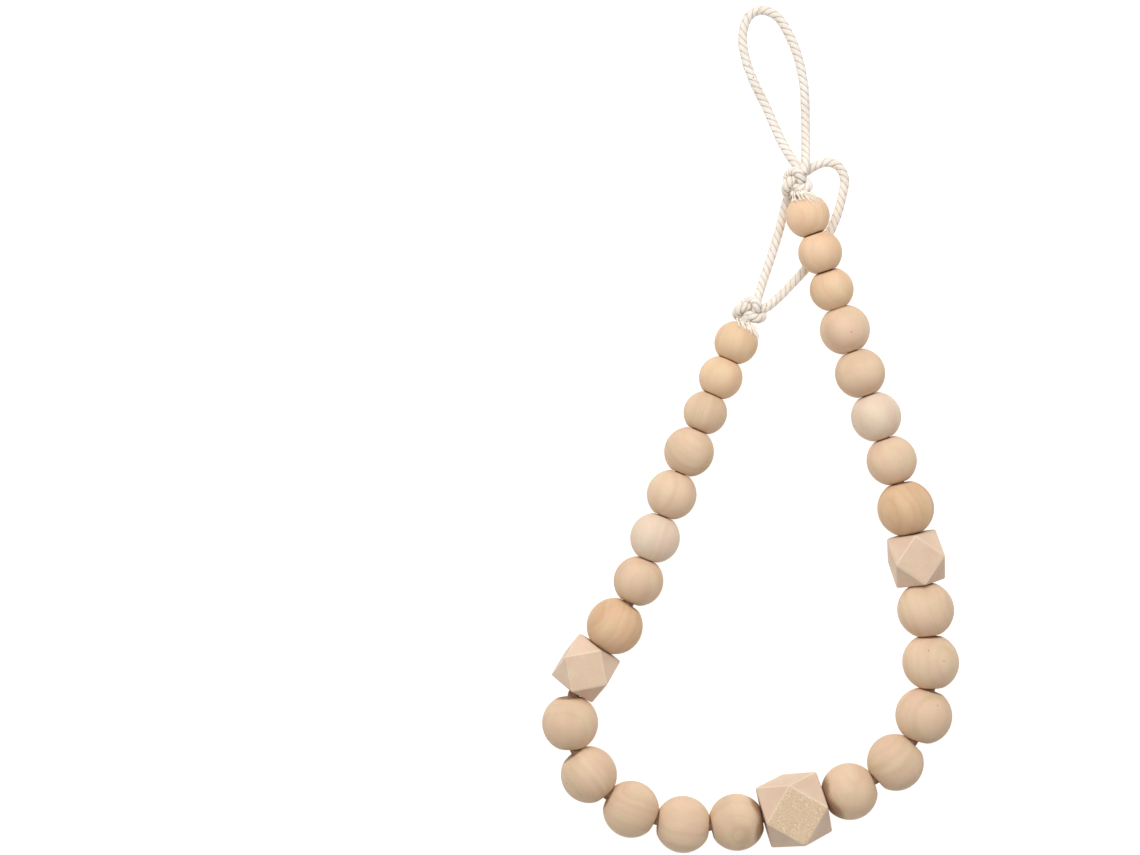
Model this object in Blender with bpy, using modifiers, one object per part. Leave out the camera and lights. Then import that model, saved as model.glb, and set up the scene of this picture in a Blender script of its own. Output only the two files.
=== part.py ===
"""Curtain tieback: wooden beads threaded on a twisted cotton cord, lying on a flat surface.

Metres, +Z up. The surface is z = 0. The origin is the middle of the large faceted bead's lower
face, +Y runs from that bead towards the two hanging loops, and +X is to the right seen from above.
Sizes and places below are in millimetres, and MM turns them into metres.
"""

import bmesh
import bpy
import math
from mathutils import Matrix, Vector

MM = 0.001
PART = "bead_curtain_tieback"

# Round beads: diameter, and length along the hole between the flattened ends
ROUND_SIZES = {"small": (14.0, 12.0), "middle": (16.0, 14.5), "big": (18.0, 16.2)}
# Faceted beads: a cube with its corners cut back to the middles of its edges
FACETED_SIZES = {"faceted_small": 16.0, "faceted_large": 20.0}

# The string from the long arm's knot to the short arm's knot: a kind, then its beads' tones
STRING = [
    ("small", "honey honey honey"),
    ("middle", "beige beige pale beige"),
    ("big", "tan"),
    ("faceted_small", "raw"),
    ("big", "beige beige beige beige beige"),
    ("faceted_large", "raw"),
    ("big", "beige beige beige beige beige"),
    ("faceted_small", "raw"),
    ("big", "tan"),
    ("middle", "beige pale beige beige"),
    ("small", "beige honey honey"),
]

# Where the threaded cord runs, seen from above: x, y through the joints between beads
BEAD_ROUTE = [
    (2.5, 195.5), (6.3, 184.4), (13.9, 161.4), (23.7, 133.3), (33.8, 105.2), (41.0, 72.5),
    (43.6, 55.9), (44.4, 38.7), (39.4, 21.4), (26.6, 8.7), (10.2, 2.5), (-9.8, -2.9),
    (-26.5, -6.0), (-43.8, -4.4), (-60.6, 4.2), (-71.0, 17.6), (-72.6, 34.9), (-63.0, 50.0),
    (-53.0, 64.3), (-42.2, 92.3), (-31.1, 119.8), (-21.2, 142.4), (-14.0, 158.8),
]

# The first beads lie over the short loop: the heights of their centres, from the knot on
RAISED_HEIGHTS = [10.1, 10.6, 9.0]

HOLE_RADIUS = 2.4
END_FACE_RADIUS = 2.9
BEAD_GAP = 0.3
# How far from the axis neighbours first touch where the string bends
BEND_REACH = 3.1
FACETED_BEND_REACH = 4.2
ROUND_STEPS = 16
ROUND_BANDS_DEG = (31.0, 56.0, 80.0, 100.0, 124.0, 149.0)
FACET_EDGE = 0.5

CORD_DIAMETER = 3.0
CORD_CLEAR_OF_JOINT = 0.06

# Three strands laid to the left: one full turn, its steps, and the radii of ridge and groove
ROPE_LAY = 7.1
ROPE_STEPS = 8
ROPE_RIDGE = 1.55
ROPE_GROOVE = 1.05

# Hanging loops: x, y, z along the middle of the rope, from the knot and back to it
LONG_LOOP_ROUTE = [
    (0.7, 206.9, 7.6), (-0.7, 209.4, 6.2), (-3.4, 215.1, 3.6), (-5.5, 220.2, 2.2),
    (-8.3, 226.8, 1.65), (-11.7, 233.7, 1.65), (-14.7, 241.7, 1.65), (-15.7, 249.4, 1.65),
    (-13.8, 255.4, 1.65), (-9.5, 257.6, 1.65), (-4.3, 255.4, 1.65), (-0.5, 249.4, 1.65),
    (2.4, 242.0, 1.65), (4.1, 233.7, 1.65), (4.6, 226.0, 1.65), (4.6, 220.0, 2.2),
    (4.5, 214.4, 3.8), (4.2, 209.8, 6.0), (3.9, 207.2, 7.4),
]
SHORT_LOOP_ROUTE = [
    (-10.9, 164.7, 4.5), (-10.0, 167.2, 3.2), (-8.7, 171.0, 2.0), (-6.6, 177.2, 1.65),
    (-4.1, 185.3, 1.65), (-2.4, 192.0, 1.65), (-0.6, 198.0, 1.65), (2.4, 203.0, 1.65),
    (6.6, 206.4, 1.65), (11.1, 208.3, 1.65), (15.2, 207.1, 1.65), (17.3, 203.2, 1.65),
    (16.8, 198.4, 1.65), (15.2, 192.0, 1.65), (12.7, 185.8, 1.65), (8.5, 179.0, 1.65),
    (4.0, 172.9, 1.65), (-0.8, 167.8, 1.65), (-4.6, 164.0, 2.4), (-7.9, 161.3, 4.0),
]

# Overhand knots: half size of the knot's path sideways and upwards, distance of its middle from
# the end bead, and the height of its middle
KNOT_SPREAD = 1.05
KNOT_RISE = 1.75
KNOT_CORD_RADIUS = 1.55
KNOT_CORE_RADIUS = 2.9
KNOT_CORE_SQUASH = 0.9
KNOT_FROM_BEAD = 5.3
KNOT_HEIGHTS = {"long_arm": 8.2, "short_arm": 5.4}

# Frayed cord ends, fanned over the end bead: the fan's angles seen from above, in degrees, and
# the reach of its wisps at the start and the end of the fan
FRAYS = {
    "long_arm": {"from_deg": 232.0, "to_deg": 350.0, "reach": 5.4, "far_reach": 8.8},
    "short_arm": {"from_deg": 228.0, "to_deg": 306.0, "reach": 5.2, "far_reach": 8.6},
}
FRAY_WISPS = 13
FRAY_ROOT_RADIUS = 1.3
FRAY_ROOT_SHIFT = 1.7
FRAY_ROOT_ABOVE_KNOT = 5.0
FRAY_OVER_BEAD = 0.8
WISP_RADIUS = 0.42
WISP_TIP = 0.45
WISP_POINTS = 5

WOOD_COLOURS = {
    "honey": (0.72, 0.50, 0.30),
    "beige": (0.70, 0.53, 0.37),
    "pale": (0.74, 0.58, 0.46),
    "tan": (0.58, 0.40, 0.24),
    "raw": (0.72, 0.55, 0.39),
}
COTTON_COLOUR = (0.86, 0.80, 0.70)


def clear_scene():
    """Remove every object of the open scene."""
    for old in list(bpy.data.objects):
        bpy.data.objects.remove(old, do_unlink=True)


def new_collection(name):
    """A collection linked to the scene."""
    collection = bpy.data.collections.new(name)
    bpy.context.scene.collection.children.link(collection)
    return collection


def new_material(name, colour, roughness):
    """A plain finish on a Principled BSDF."""
    material = bpy.data.materials.new(name)
    material.use_nodes = True
    shader = material.node_tree.nodes["Principled BSDF"]
    shader.inputs["Base Color"].default_value = (*colour, 1.0)
    shader.inputs["Roughness"].default_value = roughness
    shader.inputs["Metallic"].default_value = 0.0
    return material


def add_object(name, data, collection, material=None):
    """Link a named object, with its finish."""
    item = bpy.data.objects.new(name, data)
    collection.objects.link(item)
    if material is not None:
        data.materials.append(material)
    return item


def make_helper(item):
    """Mark an object as a cutter or guide, which isn't a piece."""
    item.hide_render = True
    item.display_type = "WIRE"


def smooth_line(points, per_span=16):
    """Points of a Catmull-Rom curve through the given points, which runs straight at its ends."""
    knots = [Vector(point) for point in points]
    knots = [2 * knots[0] - knots[1]] + knots + [2 * knots[-1] - knots[-2]]
    line = []
    for before, start, end, after in zip(knots, knots[1:], knots[2:], knots[3:]):
        for step in range(per_span):
            t = step / per_span
            bend = 2 * before - 5 * start + 4 * end - after
            turn = 3 * start - before - 3 * end + after
            line.append(0.5 * (2 * start + (end - before) * t + bend * t * t + turn * t ** 3))
    line.append(knots[-2])
    return line


def line_length(line):
    """Length of a line of points."""
    return sum((end - start).length for start, end in zip(line, line[1:]))


def points_along(line, count):
    """Points at equal distances along a line, its two ends among them."""
    step = line_length(line) / (count - 1)
    found = [line[0]]
    travelled = 0.0
    for start, end in zip(line, line[1:]):
        span = (end - start).length
        while travelled + span >= step * len(found) and len(found) < count - 1:
            found.append(start.lerp(end, (step * len(found) - travelled) / span))
        travelled += span
    found.append(line[-1])
    return found


def chord_points(line, chords):
    """Points on a line, each the given straight distance from the one before."""
    found = [line[0]]
    index = 0
    for chord in chords:
        while (line[index + 1] - found[-1]).length < chord:
            index += 1
        near = (line[index] - found[-1]).length
        far = (line[index + 1] - found[-1]).length
        found.append(line[index].lerp(line[index + 1], (chord - near) / (far - near)))
    return found


def thread_string():
    """Place every bead: kind, tone, centre, axis and the joints where the cord enters and leaves.

    Neighbours meet at a joint. A bend there opens the gap on either side by the reach, from the
    axis, of the place where they would touch, times the tangent of half the turn.
    """
    kinds = [(kind, tone) for kind, tones in STRING for tone in tones.split()]
    lengths = [bead_length(kind) for kind, tone in kinds]
    heights = [bead_diameter(kind) / 2 for kind, tone in kinds]
    heights[:len(RAISED_HEIGHTS)] = RAISED_HEIGHTS
    line = smooth_line([(x, y, 0.0) for x, y in BEAD_ROUTE])
    half_gaps = [BEAD_GAP / 2] * (len(kinds) + 1)
    for _ in range(4):
        chords = [half_gaps[k] + lengths[k] + half_gaps[k + 1] for k in range(len(kinds))]
        joints = chord_points(line, chords)
        runs = [end - start for start, end in zip(joints, joints[1:])]
        for k, (run, next_run) in enumerate(zip(runs, runs[1:]), start=1):
            reach = max(bend_reach(kinds[k - 1][0]), bend_reach(kinds[k][0]))
            half_gaps[k] = BEAD_GAP / 2 + reach * math.tan(run.angle(next_run) / 2)
    ends = [heights[0]] + heights + [heights[-1]]
    for joint, low, high in zip(joints, ends, ends[1:]):
        joint.z = (low + high) / 2
    beads = []
    for k, (kind, tone) in enumerate(kinds):
        run = joints[k + 1] - joints[k]
        share = (half_gaps[k] + lengths[k] / 2) / chords[k]
        centre = joints[k].lerp(joints[k + 1], share)
        centre.z = heights[k]
        if heights[k] == bead_diameter(kind) / 2:
            run.z = 0.0
        beads.append({"kind": kind, "tone": tone, "centre": centre, "axis": run.normalized(),
                      "joints": (joints[k], joints[k + 1])})
    middle = next(bead["centre"] for bead in beads if bead["kind"] == "faceted_large")
    shift = Vector((-middle.x, -middle.y, 0.0))
    for point in joints + [bead["centre"] for bead in beads]:
        point += shift
    return beads


def bead_diameter(kind):
    """Diameter of a round bead, or width across the flats of a faceted one."""
    return ROUND_SIZES[kind][0] if kind in ROUND_SIZES else FACETED_SIZES[kind]


def bead_length(kind):
    """Length of a bead along its hole."""
    return ROUND_SIZES[kind][1] if kind in ROUND_SIZES else FACETED_SIZES[kind]


def bend_reach(kind):
    """Distance from the axis at which a bead of this kind first touches a turned neighbour."""
    return BEND_REACH if kind in ROUND_SIZES else FACETED_BEND_REACH


def bead_matrix(bead, roll=0.0):
    """Place a bead with its hole (local Z) on its axis and its local Y as near up as can be."""
    side = Vector((0.0, 0.0, 1.0)).cross(bead["axis"]).normalized()
    up = bead["axis"].cross(side)
    turned = Matrix((side, up, bead["axis"])).transposed().to_4x4()
    return Matrix.Translation(bead["centre"] * MM) @ turned @ Matrix.Rotation(roll, 4, "Z")


def round_bead(name, bead, collection, material):
    """A ball with flattened ends and a hole, turned from its profile.

    Its widest band is a short cylinder at the real radius. The whole profile is widened by
    1 / cos(half a step), so the flats between the steps, one of which faces down, lie there too.
    """
    diameter, length = ROUND_SIZES[bead["kind"]]
    outside = [(END_FACE_RADIUS, length / 2)]
    widest = max(math.sin(math.radians(angle)) for angle in ROUND_BANDS_DEG)
    for angle in ROUND_BANDS_DEG:
        angle = math.radians(angle)
        outside.append((diameter / 2 * math.sin(angle) / widest, diameter / 2 * math.cos(angle)))
    outside.append((END_FACE_RADIUS, -length / 2))
    profile = [(HOLE_RADIUS, length / 2)] + outside + [(HOLE_RADIUS, -length / 2)]
    widen = 1.0 / math.cos(math.pi / ROUND_STEPS)
    shape = bmesh.new()
    corners = [shape.verts.new((r * widen * MM, 0.0, z * MM)) for r, z in profile]
    for start, end in zip(corners, corners[1:] + corners[:1]):
        shape.edges.new((start, end))
    mesh = bpy.data.meshes.new(name)
    shape.to_mesh(mesh)
    shape.free()
    item = add_object(name, mesh, collection, material)
    screw = item.modifiers.new("Turn", "SCREW")
    screw.steps = ROUND_STEPS
    screw.render_steps = ROUND_STEPS
    screw.use_merge_vertices = True
    screw.merge_threshold = 0.00005
    screw.use_smooth_shade = True
    item.matrix_world = bead_matrix(bead, math.pi / ROUND_STEPS)
    return item


def faceted_bead(name, bead, collection, cutters, material):
    """A cube cut back to the middles of its edges, its edges eased, with a hole through it."""
    half = FACETED_SIZES[bead["kind"]] / 2 * MM
    shape = bmesh.new()
    for first in (-half, half):
        for second in (-half, half):
            for corner in ((first, second, 0.0), (first, 0.0, second), (0.0, first, second)):
                shape.verts.new(corner)
    bmesh.ops.convex_hull(shape, input=list(shape.verts))
    bmesh.ops.dissolve_limit(shape, angle_limit=0.02, verts=list(shape.verts),
                             edges=list(shape.edges))
    bmesh.ops.recalc_face_normals(shape, faces=list(shape.faces))
    mesh = bpy.data.meshes.new(name)
    shape.to_mesh(mesh)
    shape.free()
    item = add_object(name, mesh, collection, material)
    ease = item.modifiers.new("Eased edges", "BEVEL")
    ease.width = FACET_EDGE * MM
    ease.segments = 1
    drill = drill_cutter(name + "_drill", half * 3, cutters)
    hole = item.modifiers.new("Hole", "BOOLEAN")
    hole.operation = "DIFFERENCE"
    hole.solver = "EXACT"
    hole.object = drill
    item.matrix_world = bead_matrix(bead)
    drill.matrix_world = bead_matrix(bead, math.pi / ROUND_STEPS)
    return item


def drill_cutter(name, depth, cutters):
    """The cylinder that a faceted bead's hole is cut with."""
    shape = bmesh.new()
    radius = HOLE_RADIUS / math.cos(math.pi / ROUND_STEPS) * MM
    bmesh.ops.create_cone(shape, cap_ends=True, segments=ROUND_STEPS, radius1=radius,
                          radius2=radius, depth=depth)
    mesh = bpy.data.meshes.new(name)
    shape.to_mesh(mesh)
    shape.free()
    drill = add_object(name, mesh, cutters)
    make_helper(drill)
    return drill


def tube_curve(name, points, radius, sides_level, collection, material=None, cyclic=False):
    """A tube with filled ends along a line of points given in millimetres."""
    data = bpy.data.curves.new(name, "CURVE")
    data.dimensions = "3D"
    data.bevel_depth = radius * MM
    data.bevel_resolution = sides_level
    data.use_fill_caps = not cyclic
    spline = data.splines.new("POLY")
    spline.points.add(len(points) - 1)
    for handle, point in zip(spline.points, points):
        handle.co = (*(point * MM), 1.0)
    spline.use_cyclic_u = cyclic
    return add_object(name, data, collection, material)


def curve_to_mesh(item, collection):
    """Replace a curve object by its mesh, its end caps joined to its wall."""
    bpy.context.view_layer.update()
    evaluated = item.evaluated_get(bpy.context.evaluated_depsgraph_get())
    mesh = bpy.data.meshes.new_from_object(evaluated)
    shape = bmesh.new()
    shape.from_mesh(mesh)
    bmesh.ops.remove_doubles(shape, verts=list(shape.verts), dist=0.000001)
    shape.to_mesh(mesh)
    shape.free()
    name = item.name
    matrix = item.matrix_world.copy()
    bpy.data.objects.remove(item, do_unlink=True)
    solid = add_object(name, mesh, collection)
    solid.matrix_world = matrix
    return solid


def threaded_cord(beads, collection, material):
    """The cord through every hole: straight inside a bead, and turned at the joints."""
    points = []
    for bead in beads:
        entry, leave = bead["joints"]
        for share in (CORD_CLEAR_OF_JOINT, 1.0 - CORD_CLEAR_OF_JOINT):
            points.append(entry.lerp(leave, share))
    return tube_curve("bead_cord", points, CORD_DIAMETER / 2, 2, collection, material)


def rope_section(cutters):
    """Cross-section of the rope: three round strands as ridges with grooves between them."""
    data = bpy.data.curves.new("rope_section", "CURVE")
    data.dimensions = "2D"
    spline = data.splines.new("POLY")
    spline.points.add(5)
    for k, handle in enumerate(spline.points):
        radius = (ROPE_RIDGE if k % 2 == 0 else ROPE_GROOVE) * MM
        angle = -k * math.pi / 3
        handle.co = (radius * math.cos(angle), radius * math.sin(angle), 0.0, 1.0)
    spline.use_cyclic_u = True
    section = add_object("rope_section", data, cutters)
    make_helper(section)
    return section


def rope_loop(name, route, section, collection, material):
    """A loop of laid rope: its section is carried along the route and turned by the lay."""
    line = smooth_line(route)
    count = round(line_length(line) / ROPE_LAY * ROPE_STEPS) + 1
    data = bpy.data.curves.new(name, "CURVE")
    data.dimensions = "3D"
    data.bevel_mode = "OBJECT"
    data.bevel_object = section
    data.use_fill_caps = True
    spline = data.splines.new("POLY")
    spline.points.add(count - 1)
    for k, (handle, point) in enumerate(zip(spline.points, points_along(line, count))):
        handle.co = (*(point * MM), 1.0)
        handle.tilt = -k * math.tau / ROPE_STEPS
    return add_object(name, data, collection, material)


def knot_frame(bead, towards_bead, height):
    """Middle of a knot beside an end bead, and the direction from there to the bead."""
    away = -towards_bead
    away.z = 0.0
    away.normalize()
    centre = bead["centre"] + away * (bead_length(bead["kind"]) / 2 + KNOT_FROM_BEAD)
    centre.z = height
    return centre, -away


def knot_line(centre, to_bead, steps=36):
    """The closed path of a pulled overhand knot, a trefoil with one lobe away from the bead.

    With t once round, its sideways place is sin t + 2 sin 2t, its place along the string is
    cos t - 2 cos 2t, and it rises and falls as sin 3t.
    """
    side = Vector((0.0, 0.0, 1.0)).cross(to_bead)
    up = Vector((0.0, 0.0, 1.0))
    points = []
    for k in range(steps):
        t = k * math.tau / steps
        across = KNOT_SPREAD * (math.sin(t) + 2 * math.sin(2 * t))
        along = KNOT_SPREAD * (math.cos(t) - 2 * math.cos(2 * t))
        rise = -KNOT_RISE * math.sin(3 * t)
        points.append(centre + side * across + to_bead * along + up * rise)
    return points


def add_union(item, other, with_itself):
    """Fuse another mesh into a mesh."""
    join = item.modifiers.new("Fuse " + other.name, "BOOLEAN")
    join.operation = "UNION"
    join.solver = "EXACT"
    join.use_self = with_itself
    join.object = other


def ball(name, centre, radius, squash, cutters):
    """A low ball, flattened upwards, that fills the middle of a knot or a frayed end."""
    shape = bmesh.new()
    bmesh.ops.create_uvsphere(shape, u_segments=10, v_segments=7, radius=radius * MM)
    mesh = bpy.data.meshes.new(name)
    shape.to_mesh(mesh)
    shape.free()
    item = add_object(name, mesh, cutters)
    item.matrix_world = Matrix.Translation(centre * MM) @ Matrix.Diagonal((1.0, 1.0, squash, 1.0))
    return item


def knot(name, centre, to_bead, collection, cutters, material):
    """A pulled overhand knot: its cord fused where it crosses itself, over a filled middle."""
    path = tube_curve(name, knot_line(centre, to_bead), KNOT_CORD_RADIUS, 2, collection,
                      cyclic=True)
    solid = curve_to_mesh(path, collection)
    solid.data.materials.clear()
    solid.data.materials.append(material)
    core = ball(name + "_core", centre, KNOT_CORE_RADIUS, KNOT_CORE_SQUASH, cutters)
    make_helper(core)
    add_union(solid, core, True)
    return solid


def bead_top(bead, x, y):
    """Height of a bead's surface, a little proud of it, above a place seen from above."""
    reach = bead_diameter(bead["kind"]) / 2 + FRAY_OVER_BEAD
    offset = Vector((x - bead["centre"].x, y - bead["centre"].y)).length
    if offset >= reach:
        return 0.0
    return bead["centre"].z + math.sqrt(reach * reach - offset * offset)


def frayed_end(name, arm, centre, to_bead, bead, collection, cutters, material):
    """The cord's cut end: a root on top of the knot and wisps that fan out over the end bead."""
    fan = FRAYS[arm]
    root = centre + to_bead * FRAY_ROOT_SHIFT
    root.z += FRAY_ROOT_ABOVE_KNOT
    solid = ball(name, root, FRAY_ROOT_RADIUS, 0.8, cutters)
    collection.objects.link(solid)
    cutters.objects.unlink(solid)
    solid.data.materials.append(material)
    for k in range(FRAY_WISPS):
        share = k / (FRAY_WISPS - 1)
        angle = math.radians(fan["from_deg"] + (fan["to_deg"] - fan["from_deg"]) * share)
        reach = fan["reach"] + (fan["far_reach"] - fan["reach"]) * share ** 2
        points = []
        for step in range(WISP_POINTS):
            part = step / (WISP_POINTS - 1)
            x = root.x + math.cos(angle) * reach * part
            y = root.y + math.sin(angle) * reach * part
            points.append(Vector((x, y, max(root.z - part * part, bead_top(bead, x, y)))))
        wisp = tube_curve(f"{name}_wisp_{k + 1:02d}", points, WISP_RADIUS, 0, cutters)
        for step, handle in enumerate(wisp.data.splines[0].points):
            handle.radius = 1.0 - (1.0 - WISP_TIP) * step / (WISP_POINTS - 1)
        wisp = curve_to_mesh(wisp, cutters)
        make_helper(wisp)
        add_union(solid, wisp, False)
    return solid


def main():
    """Build the tieback."""
    clear_scene()
    collection = new_collection(PART)
    cutters = new_collection("cutters")
    woods = {tone: new_material(tone + " wood", colour, 0.55)
             for tone, colour in WOOD_COLOURS.items()}
    cotton = new_material("cotton cord", COTTON_COLOUR, 0.9)

    beads = thread_string()
    counts = {"round_bead": 0, "faceted_bead": 0}
    for bead in beads:
        stem = "round_bead" if bead["kind"] in ROUND_SIZES else "faceted_bead"
        counts[stem] += 1
        name = f"{stem}_{counts[stem]:02d}"
        if stem == "round_bead":
            round_bead(name, bead, collection, woods[bead["tone"]])
        else:
            faceted_bead(name, bead, collection, cutters, woods[bead["tone"]])
    threaded_cord(beads, collection, cotton)

    section = rope_section(cutters)
    rope_loop("long_loop", LONG_LOOP_ROUTE, section, collection, cotton)
    rope_loop("short_loop", SHORT_LOOP_ROUTE, section, collection, cotton)

    ends = {"long_arm": (beads[0], beads[0]["axis"]), "short_arm": (beads[-1], -beads[-1]["axis"])}
    for arm, (bead, towards_bead) in ends.items():
        centre, to_bead = knot_frame(bead, towards_bead, KNOT_HEIGHTS[arm])
        knot(arm + "_knot", centre, to_bead, collection, cutters, cotton)
        frayed_end(arm + "_frayed_end", arm, centre, to_bead, bead, collection, cutters, cotton)


main()
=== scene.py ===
# %% [markdown]
# # A wooden bead tieback for a curtain
#
# The real object is a string of turned and faceted wooden beads on a twisted cotton cord. At
# either end a knot closes a hanging loop, and the cut end of the cord is combed out over the last
# bead. The CAD model gives every size and place. This script keeps them, and gives each piece the
# surface and the finish of the real one.

# %% Load the CAD frame
import math

import bpy
import numpy as np
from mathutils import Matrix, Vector


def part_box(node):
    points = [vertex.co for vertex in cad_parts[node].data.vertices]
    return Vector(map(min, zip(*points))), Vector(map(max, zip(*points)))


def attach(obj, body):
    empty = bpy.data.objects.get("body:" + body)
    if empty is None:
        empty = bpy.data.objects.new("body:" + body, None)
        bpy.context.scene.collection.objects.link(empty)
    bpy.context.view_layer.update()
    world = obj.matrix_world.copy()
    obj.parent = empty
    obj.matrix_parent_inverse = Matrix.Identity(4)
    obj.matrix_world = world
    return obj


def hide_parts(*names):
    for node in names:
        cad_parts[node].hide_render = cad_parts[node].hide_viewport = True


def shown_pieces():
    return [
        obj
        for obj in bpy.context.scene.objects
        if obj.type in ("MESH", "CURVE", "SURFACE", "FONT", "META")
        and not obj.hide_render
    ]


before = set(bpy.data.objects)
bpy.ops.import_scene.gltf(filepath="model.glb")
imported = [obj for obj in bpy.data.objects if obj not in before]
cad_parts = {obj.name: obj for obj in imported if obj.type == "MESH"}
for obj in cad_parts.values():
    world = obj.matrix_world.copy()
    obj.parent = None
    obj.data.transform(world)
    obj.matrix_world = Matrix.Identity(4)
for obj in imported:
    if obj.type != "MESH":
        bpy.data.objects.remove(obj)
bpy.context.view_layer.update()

BODY = "root"
MM = 0.001
UP = np.array([0.0, 0.0, 1.0])

# %% [markdown]
# ## The camera
#
# The photograph was taken from straight above. At the height of the beads' middles one millimetre
# is 3.12 of its pixels, so the width of the view is known, and the lens follows from the camera's
# height. A lower camera would show more of the beads' sides than the photograph does.

# %% Camera straight above
PHOTO_WIDTH, PHOTO_HEIGHT = 1140, 855
PIXELS_PER_MM = 3.12
ORIGIN_PIXEL = (793.5, 809.0)
BEAD_MIDDLE_HEIGHT = 9.0
CAMERA_HEIGHT = 640.0
SENSOR_WIDTH = 36.0
CLIP_START = 10.0

camera_data = bpy.data.cameras.new("camera")
camera_data.sensor_width = SENSOR_WIDTH
camera_data.lens = (SENSOR_WIDTH * (CAMERA_HEIGHT - BEAD_MIDDLE_HEIGHT)
                    / (PHOTO_WIDTH / PIXELS_PER_MM))
camera_data.clip_start = CLIP_START * MM
camera = bpy.data.objects.new("camera", camera_data)
camera.location = ((PHOTO_WIDTH / 2 - ORIGIN_PIXEL[0]) / PIXELS_PER_MM * MM,
                   (ORIGIN_PIXEL[1] - PHOTO_HEIGHT / 2) / PIXELS_PER_MM * MM,
                   CAMERA_HEIGHT * MM)
bpy.context.scene.collection.objects.link(camera)
bpy.context.scene.camera = camera
print(f"lens {camera_data.lens:.1f} mm")

# %% [markdown]
# ## Lines to carry a shape along
#
# Each hanging loop is a cord about 3 mm thick that leaves its knot and comes back to it. Its route
# is a smooth line through points read off the photograph, the same as in the CAD source. A curve
# drawn by hand would do too, but worked out here it also tells how long the cord is.


# %% Smooth lines
def unit(vectors):
    """The same directions at length 1: each vector over its length."""
    return vectors / np.linalg.norm(vectors, axis=-1, keepdims=True)


def smooth_line(points, per_span=16):
    """A Catmull-Rom line through the points: on each span a cubic whose slope at a point is half
    the step from the point before it to the point after it. It runs straight at its ends."""
    knots = np.array(points, float)
    knots = np.vstack([2 * knots[0] - knots[1], knots, 2 * knots[-1] - knots[-2]])
    before, start, end, after = (knots[k:len(knots) - 3 + k, None, :] for k in range(4))
    t = (np.arange(per_span) / per_span)[None, :, None]
    bend = 2 * before - 5 * start + 4 * end - after
    turn = 3 * start - before - 3 * end + after
    line = 0.5 * (2 * start + (end - before) * t + bend * t * t + turn * t ** 3)
    return np.vstack([line.reshape(-1, 3), knots[-2]])


def travelled(line):
    """The distance along a line to each of its points."""
    steps = np.linalg.norm(np.diff(line, axis=0), axis=1)
    return np.concatenate([[0.0], np.cumsum(steps)])


def even_line(line, step):
    """The same line, its points at equal distances that are as near the step as can be."""
    along = travelled(line)
    at = np.linspace(0.0, along[-1], round(along[-1] / step) + 1)
    return np.stack([np.interp(at, along, line[:, k]) for k in range(3)], axis=1)


# The loops: x, y, z in mm along the middle of the cord, from inside the knot and back into it
LONG_LOOP_ROUTE = [
    (1.5, 203.6, 8.6), (0.7, 206.9, 7.6), (-0.7, 209.4, 6.2), (-3.4, 215.1, 3.6),
    (-5.5, 220.2, 2.2), (-8.3, 226.8, 1.65), (-11.7, 233.7, 1.65), (-14.7, 241.7, 1.65),
    (-15.7, 249.4, 1.65), (-13.8, 255.4, 1.65), (-9.5, 257.6, 1.65), (-4.3, 255.4, 1.65),
    (-0.5, 249.4, 1.65), (2.4, 242.0, 1.65), (4.1, 233.7, 1.65), (4.6, 226.0, 1.65),
    (4.6, 220.0, 2.2), (4.5, 214.4, 3.8), (4.2, 209.8, 6.0), (3.9, 207.2, 7.4),
    (2.9, 203.9, 8.4),
]
SHORT_LOOP_ROUTE = [
    (-11.6, 161.9, 5.6), (-10.9, 164.7, 4.5), (-10.0, 167.2, 3.2), (-8.7, 171.0, 2.0),
    (-6.6, 177.2, 1.65), (-4.1, 185.3, 1.65), (-2.4, 192.0, 1.65), (-0.6, 198.0, 1.65),
    (2.4, 203.0, 1.65), (6.6, 206.4, 1.65), (11.1, 208.3, 1.65), (15.2, 207.1, 1.65),
    (17.3, 203.2, 1.65), (16.8, 198.4, 1.65), (15.2, 192.0, 1.65), (12.7, 185.8, 1.65),
    (8.5, 179.0, 1.65), (4.0, 172.9, 1.65), (-0.8, 167.8, 1.65), (-4.6, 164.0, 2.4),
    (-7.9, 161.3, 4.0), (-10.6, 160.0, 5.2),
]
for loop_name, loop_route in (("long", LONG_LOOP_ROUTE), ("short", SHORT_LOOP_ROUTE)):
    print(f"{loop_name} loop: {travelled(smooth_line(loop_route))[-1]:.1f} mm of cord")

# %% [markdown]
# ## Surfaces from grids
#
# Every new piece is a surface on a grid of rows and columns. Its corners come from a formula, all
# at once, and neighbouring corners make its faces. A face can look inwards by accident, so the
# volume that the faces enclose is worked out: if it is negative, they are all turned round.
# Numbers that a finish needs, such as how deep in a groove a corner lies, go with the corners.


# %% From arrays to a piece
def on_rings(radius, height, around):
    """Corners round an upright axis: the radius times the cosine and the sine of the angle round
    it, and the height."""
    return np.stack(np.broadcast_arrays(radius * np.cos(around), radius * np.sin(around), height),
                    axis=-1)


def grid_quads(rows, columns, close_rows=False):
    """Faces of a grid that is closed round its columns, and round its rows if asked."""
    row = np.arange(rows if close_rows else rows - 1)[:, None]
    column = np.arange(columns)[None, :]
    next_row = (row + 1) % rows
    next_column = (column + 1) % columns
    return np.stack([row * columns + column, row * columns + next_column,
                     next_row * columns + next_column, next_row * columns + column],
                    axis=-1).reshape(-1, 4)


def enclosed_volume(corners, triangles):
    """Six times the volume inside, the sum of each face's three corners' triple product."""
    a, b, c = (corners[triangles[:, k]] for k in range(3))
    return np.einsum("ij,ij->", a, np.cross(b, c))


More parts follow.
